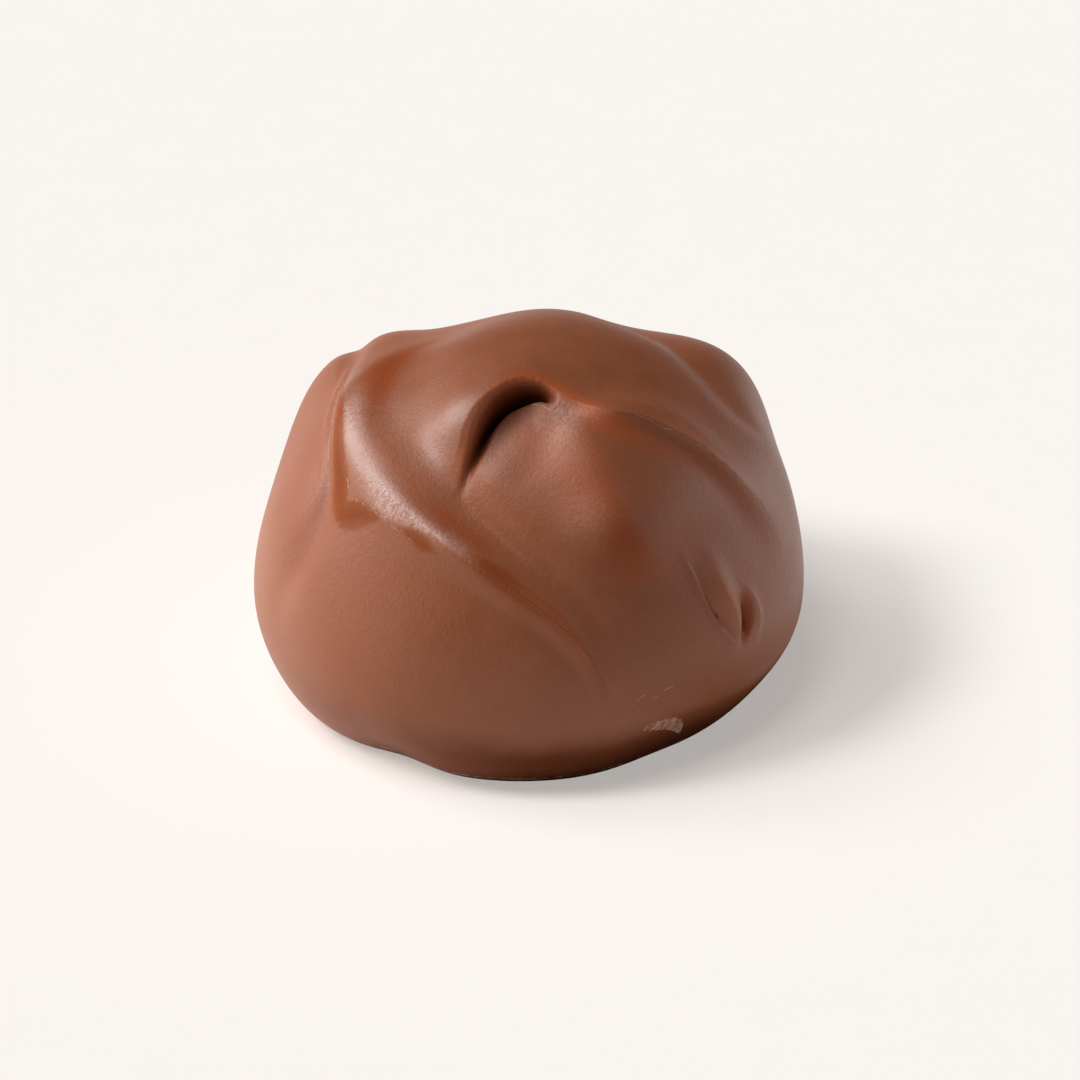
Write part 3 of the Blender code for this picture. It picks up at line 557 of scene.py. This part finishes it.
class Value:
    """A node's output that takes part in sums, so that shader maths reads as a formula."""

    def __init__(self, socket):
        self.socket = socket
        self.tree = socket.id_data

    def make(self, kind, settings, inputs, output=0):
        """Any other node: its type, its settings, and its inputs by name or number."""
        node = self.tree.nodes.new(kind)
        for name, setting in settings.items():
            setattr(node, name, setting)
        for name, entry in inputs.items():
            if isinstance(entry, Value):
                self.tree.links.new(entry.socket, node.inputs[name])
            else:
                node.inputs[name].default_value = entry
        return Value(node.outputs[output])

    def maths(self, operation, *others):
        """One operation on this value and the others, in that order."""
        entries = dict(enumerate((self,) + others))
        return self.make("ShaderNodeMath", {"operation": operation}, entries)

    def __add__(self, other):
        return self.maths("ADD", other)

    def __mul__(self, other):
        return self.maths("MULTIPLY", other)

    def __sub__(self, other):
        return self.maths("SUBTRACT", other)

    def __rsub__(self, other):
        return self.maths("MULTIPLY", -1.0).maths("ADD", other)

    __radd__ = __add__
    __rmul__ = __mul__

    def between(self, low, high):
        """0 below low, 1 above high, smooth between."""
        return self.make("ShaderNodeMapRange", {"interpolation_type": "SMOOTHSTEP"},
                         {"Value": self, "From Min": low, "From Max": high})

    def noise(self, scale, detail=2.0, roughness=0.5, distortion=0.0):
        """Cloudy noise from 0 to 1, read at this place; scale is in cells a unit of length."""
        return self.make("ShaderNodeTexNoise", {},
                         {"Vector": self, "Scale": scale, "Detail": detail,
                          "Roughness": roughness, "Distortion": distortion})

    def colour(self, one, other):
        """One colour where this is 0, the other where it is 1."""
        return self.make("ShaderNodeMix", {"data_type": "RGBA"}, {0: self, 6: one, 7: other}, 2)


# A place on the coat in millimetres: across to the right, back, and up from the floor.
tree = material.node_tree
coordinates = Value(tree.nodes.new("ShaderNodeTexCoord").outputs["Object"])
place = coordinates.make("ShaderNodeVectorMath", {"operation": "SCALE"},
                         {0: coordinates, "Scale": 1 / MILLIMETRE})
across = place.make("ShaderNodeSeparateXYZ", {}, {0: place})
back = Value(across.socket.node.outputs["Y"])
height = Value(across.socket.node.outputs["Z"])


def stored(name):
    """A number that the mesh carries."""
    return coordinates.make("ShaderNodeAttribute", {"attribute_name": name}, {}, 2)


def thin_lines(names, half_width, sway=0.12, waves=0.8):
    """How much there is of some thin raised lines: full on each, none half a width away.

    The lines sway by so many millimetres, in so many waves a millimetre.
    """
    total = 0.0
    for name in names:
        gap = stored(name) + (place.noise(waves, 2.0) - 0.5) * sway
        full = 1.0 - gap.maths("ABSOLUTE").between(0.0, half_width)
        total = stored(name + " strength") * full + total
    return total


# Marks from 0 to 1. The wet patches have ragged borders, and the painted shade in the warm hollows soft
# ones.
ragged_wet = stored("wet") + (place.noise(2.2, 3.0, 0.6) - 0.5) * 0.45
wet = ragged_wet.between(0.3, 0.7)
thick = ragged_wet.between(0.5, 1.25)
# The painted glow along the hook's rim.
painted_rim_glow = stored("painted_rim_glow").between(0.05, 1.0)
gloss = stored("gloss").between(0.1, 0.9)
# The painted shade and reddish bounced light in the warm hollows.
warm = (stored("warm") + (place.noise(0.5, 2.0) - 0.5) * 0.3).between(0.1, 1.0)
# The painted shade in the deepest hollows.
dark = stored("dark")

# Painted highlight lines that come and go, and painted glints and pale specks that are broken into
# short pieces.
broken = place.noise(1.1, 3.0, 0.6).between(0.25, 0.6)
lines = thin_lines(PAINTED_HIGHLIGHT_LINES, 0.13) * (broken * 0.35 + 0.65)
glints = thin_lines(GLINTS, 0.12, 1.4, 2.0) * place.noise(4.0, 1.0).between(0.4, 0.55)
specks = thin_lines(SPECKS, 0.2, 0.35, 2.0) * place.noise(5.0, 1.0).between(0.47, 0.53)

# Parts of the coat, by place. Painted shade darkens the foot up to a wavering line, less so on the
# left, and a painted highlight shows as a thin pale line here and there just above the floor at the
# front. Painted shade also darkens the crown and the right side, away from the lamps, and painted light
# brightens the lower left side, towards them.
foot_line = across * -0.05 + 5.8 + (place.noise(0.3, 2.0) - 0.5)
foot = (foot_line - height).between(0.0, 3.2) * across.between(-17.0, 4.0)
foot_edge_highlight = height.between(0.85, 0.7) * height.between(0.4, 0.55)
foot_edge_highlight = foot_edge_highlight * place.noise(1.2, 2.0).between(0.4, 0.6) * back.between(-9.0, -12.0)
top = height.between(17.5, 22.0)
painted_light_left_side = across.between(-10.0, -15.5) * height.between(14.0, 9.0)
painted_shade_right_side = across.between(-3.0, 9.0)
right_rim = across.between(11.0, 15.0)
low_right = across.between(5.0, 12.0) * height.between(8.5, 4.5)

# The flake is scuffed in parallel strokes, with a ragged border.
stroke_place = place.make("ShaderNodeMapping", {}, {0: place, "Rotation": (0.3, 0.7, 0.5),
                                                    "Scale": (1.0, 9.0, 2.0)})
strokes = stroke_place.noise(1.1, 2.0, 0.6).between(0.38, 0.56)
flake = (stored("flake") + (place.noise(4.5, 2.0, 0.6) - 0.5) * 0.9).between(0.45, 0.6)
flake = flake * (strokes * 0.85 + 0.15)

# Fine wrinkles across the collar's crest, which the painted highlight breaks along.
crinkle_place = coordinates.make("ShaderNodeCombineXYZ", {}, {0: stored("along the crest") * 4.0,
                                                              1: place.noise(0.5) * 1.5, 2: 0.0})
crinkles = crinkle_place.noise(1.0, 2.0, 0.6, 0.8) * 0.4 + place.noise(4.0, 2.0, 0.6) * 0.6
painted_highlight = stored("painted_highlight") * (crinkles.between(0.38, 0.58) * 0.7 + 0.3) * (1.0 - wet)

# Colour: plain milk chocolate, slightly mottled, and the shades laid over it one after another, each
# with how much of it there is. Most of these shades are painted light and shade.
mottle = place.noise(0.12, 3.0, 0.55).between(0.3, 0.7)
cloud = place.noise(0.7, 3.0, 0.6).between(0.3, 0.7)
skin = mottle.colour((0.325, 0.096, 0.041, 1), (0.360, 0.109, 0.047, 1))
SHADES = [
    # Painted shade on the right side and the crown, and painted light on the lower left side.
    ("darker right side", painted_shade_right_side * 0.40, (0.245, 0.084, 0.040, 1)),
    ("darker crown", top * 0.75, (0.235, 0.072, 0.030, 1)),
    ("paler left side", painted_light_left_side * 0.6, (0.45, 0.185, 0.11, 1)),
    ("faint clouds", cloud * 0.12, (0.42, 0.15, 0.08, 1)),
    # Painted shade and reddish bounced light in the hollows, painted light on the tongue and blunt
    # crests, and a painted glow on the hook's rim.
    ("redder hollows", warm * 0.9, (0.32, 0.065, 0.016, 1)),
    ("painted_light_tone", stored("painted_light_tone") * 0.75, (0.47, 0.14, 0.066, 1)),
    ("warm rim", painted_rim_glow * 0.85, (0.40, 0.088, 0.022, 1)),
    ("cocoa butter", wet * 0.9, thick.colour((0.31, 0.083, 0.027, 1), (0.24, 0.053, 0.012, 1))),
    # Painted shade in the deepest hollows and at the foot, then painted highlights: the pale sheen, the
    # thin lines, the pale line at the foot's edge and the glints.
    ("deepest hollows", dark * 0.92, (0.035, 0.005, 0.002, 1)),
    ("dark foot", foot * 0.9, (0.12, 0.034, 0.014, 1)),
    ("milky film", painted_highlight * 0.5, (0.78, 0.52, 0.44, 1)),
    ("light lines", lines * 0.8 + foot_edge_highlight * 0.35 + glints * 0.8, (0.80, 0.55, 0.40, 1)),
    ("scuffs", specks + flake * 0.55, (0.66, 0.33, 0.17, 1)),
]
for name, share, shade in SHADES:
    skin = share.colour(skin, shade)
tree.links.new(skin.socket, surface.inputs["Base Color"])

# Shine: satin, smoother where it is wet and on the crests, which have a clear coat as well.
rough = 0.40 + (place.noise(0.7, 2.0) - 0.5) * 0.06 - wet * 0.22 - gloss * 0.12 - lines * 0.10
tree.links.new(rough.socket, surface.inputs["Roughness"])
tree.links.new((gloss * 0.6).socket, surface.inputs["Coat Weight"])
surface.inputs["Coat Roughness"].default_value = 0.30
surface.inputs["IOR"].default_value = 1.48

# Relief in millimetres: leathery grain and pores, the wrinkles, and the marks that stand proud.
leather = place.noise(3.2, 3.0, 0.6, 0.4) * 0.032
pores = place.noise(7.0, 2.0, 0.6) * 0.024
grain = (leather + pores) * (1.0 - wet * 0.7)
relief = grain + crinkles * (gloss * 0.05 + painted_highlight * 0.02) + lines * 0.05 + glints * 0.06
relief = relief + wet * 0.03 + specks * 0.05 + flake * 0.05
bump = relief.make("ShaderNodeBump", {}, {"Height": relief, "Strength": 0.9, "Distance": MILLIMETRE})
tree.links.new(bump.socket, surface.inputs["Normal"])

# A matt skin of the same colour takes over by shares, where the coat has little sheen.
matt = tree.nodes.new("ShaderNodeBsdfPrincipled")
matt.inputs["Roughness"].default_value = 0.6
matt.inputs["Specular IOR Level"].default_value = 0.0
tree.links.new(skin.socket, matt.inputs["Base Color"])
tree.links.new(bump.socket, matt.inputs["Normal"])
plain_coat = (1.0 - gloss) * (painted_shade_right_side * 0.08 + 0.22) * (1.0 - right_rim)
matt_share = foot * 0.85 + wet * 0.6 + warm * 0.3 + dark * 0.8 + plain_coat + low_right * 0.5
matt_share = matt_share.maths("MINIMUM", 1.0) * (1.0 - flake)
matt_share = matt_share * (1.0 - lines.maths("MINIMUM", 1.0)) * (1.0 - glints)
both = coordinates.make("ShaderNodeMixShader", {}, {0: matt_share})
tree.links.new(surface.outputs[0], both.socket.node.inputs[1])
tree.links.new(matt.outputs[0], both.socket.node.inputs[2])
tree.links.new(both.socket, tree.nodes["Material Output"].inputs["Surface"])
mesh.materials.append(material)

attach(truffle, "root")
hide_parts("chocolate_truffle")


# The floor: a matt white card, far wider than the view, with a faint paper tooth. A duller board
# lies just under it, and only the board's light comes back up to the sweet. The sheets' side and the
# board's depth are in metres, and the tooth is in cells a millimetre.
FLOOR_SIZE = 1.6
BOARD_DEPTH = 0.0002
PAPER_TOOTH = 0.25
CARD_WHITES = (0.862, 0.827, 0.792, 1), (0.868, 0.833, 0.800, 1)
BOARD_WHITES = (0.81, 0.78, 0.75, 1), (0.83, 0.80, 0.77, 1)


def sheet_of_paper(name, level, whites):
    """A flat sheet with faintly uneven matt paper, in a collection of its own for its lamps."""
    bpy.ops.mesh.primitive_plane_add(size=FLOOR_SIZE, location=(0, 0, level))
    paper = bpy.context.active_object
    paper.name = name
    own = bpy.data.collections.new(name)
    bpy.context.scene.collection.children.link(own)
    for other in list(paper.users_collection):
        other.objects.unlink(paper)
    own.objects.link(paper)
    pulp = bpy.data.materials.new(name)
    pulp.use_nodes = True
    face = pulp.node_tree.nodes["Principled BSDF"]
    spot = Value(pulp.node_tree.nodes.new("ShaderNodeTexCoord").outputs["Object"])
    tooth = spot.noise(PAPER_TOOTH / MILLIMETRE, 3.0).colour(*whites)
    pulp.node_tree.links.new(tooth.socket, face.inputs["Base Color"])
    face.inputs["Roughness"].default_value = 0.9
    face.inputs["Specular IOR Level"].default_value = 0.0
    paper.data.materials.append(pulp)
    return paper, own


card, card_only = sheet_of_paper("white card", 0.0, CARD_WHITES)
card.visible_diffuse = False
card.visible_shadow = False
board_only = sheet_of_paper("board", -BOARD_DEPTH, BOARD_WHITES)[1]


# Lights: broad soft panes round the sweet's left and top, with weak ones on the right. They light
# the sweet alone. Four more light the card, which stays evenly white, and one lights the board.
# The spread of a pane is in degrees, and the lamps stand half a metre off.
PANE_SPREAD = 28
LAMP_DISTANCE = 0.5


def toward(azimuth, elevation):
    """Unit vector to a lamp or the camera: azimuth from the front towards the right, elevation from
    the floor, in degrees."""
    return Vector(heading(azimuth, elevation))


def soft_sun(name, azimuth, elevation, strength, spread, lights):
    """A far soft lamp that lights only one collection."""
    lamp = bpy.data.lights.new(name, "SUN")
    lamp.energy = math.pi * strength
    lamp.angle = math.radians(spread)
    stand = bpy.data.objects.new(name, lamp)
    stand.rotation_euler = toward(azimuth, elevation).to_track_quat("Z", "Y").to_euler()
    stand.location = toward(azimuth, elevation) * LAMP_DISTANCE
    bpy.context.scene.collection.objects.link(stand)
    stand.light_linking.receiver_collection = lights
    return stand


# Each pane's azimuth and elevation in degrees, and its strength.
PANES = [
    ("window high left", -100, 50, 0.42), ("window low left", -120, 26, 0.35),
    ("window left", -90, 26, 0.16), ("ceiling front left", -60, 72, 0.155),
    ("window high back left", -140, 50, 0.155), ("window left rim", -90, 4, 0.11),
    ("wall back right", 120, 4, 0.19), ("front left low", -60, 4, 0.095),
    ("back left low", -120, 4, 0.09), ("wall right", 90, 4, 0.08),
    ("room in front", -20, 50, 0.045), ("front right", 60, 26, 0.04), ("right", 90, 26, 0.035),
]
for name, azimuth, elevation, strength in PANES:
    soft_sun(name, azimuth, elevation, strength, PANE_SPREAD, sweet)
soft_sun("card key", -74, 50, 0.40, 18, card_only)
soft_sun("card top light", -40, 70, 0.178, 24, card_only)
soft_sun("card back light", -108, 52, 0.17, 24, card_only)
soft_sun("card fill", 0, 90, 0.49, 20, card_only).data.use_shadow = False
soft_sun("board light", -88, 54, 1.0, PANE_SPREAD, board_only)

world = bpy.data.worlds.new("dark room")
world.use_nodes = True
world.node_tree.nodes["Background"].inputs["Color"].default_value = (0, 0, 0, 1)
bpy.context.scene.world = world
bpy.context.scene.view_settings.view_transform = "Standard"


# The camera: a long lens 42 cm away, looking down by 30 degrees at a point a little right of the
# sweet's middle and 8 mm above the floor.
CAMERA_RISE = 30
CAMERA_DISTANCE = 420
PIXELS_PER_MM = 16.03
PICTURE_SIDE = 1080
SENSOR_WIDTH = 36
SWEET_IN_PICTURE = (527, 578)
view = toward(0, CAMERA_RISE)
picture_up = toward(180, 90 - CAMERA_RISE)
aim = Vector((0, 0, BALL_MIDDLE_HEIGHT))
aim += Vector((1, 0, 0)) * (PICTURE_SIDE / 2 - SWEET_IN_PICTURE[0]) / PIXELS_PER_MM
aim += picture_up * (SWEET_IN_PICTURE[1] - PICTURE_SIDE / 2) / PIXELS_PER_MM
lens = bpy.data.cameras.new("camera")
lens.sensor_width = SENSOR_WIDTH
lens.lens = SENSOR_WIDTH * CAMERA_DISTANCE / (PICTURE_SIDE / PIXELS_PER_MM)
lens.clip_start = 0.01
lens.clip_end = 10
camera = bpy.data.objects.new("camera", lens)
camera.location = (aim + view * CAMERA_DISTANCE) * MILLIMETRE - Vector((*middle, 0))
camera.rotation_euler = view.to_track_quat("Z", "Y").to_euler()
bpy.context.scene.collection.objects.link(camera)
bpy.context.scene.camera = camera
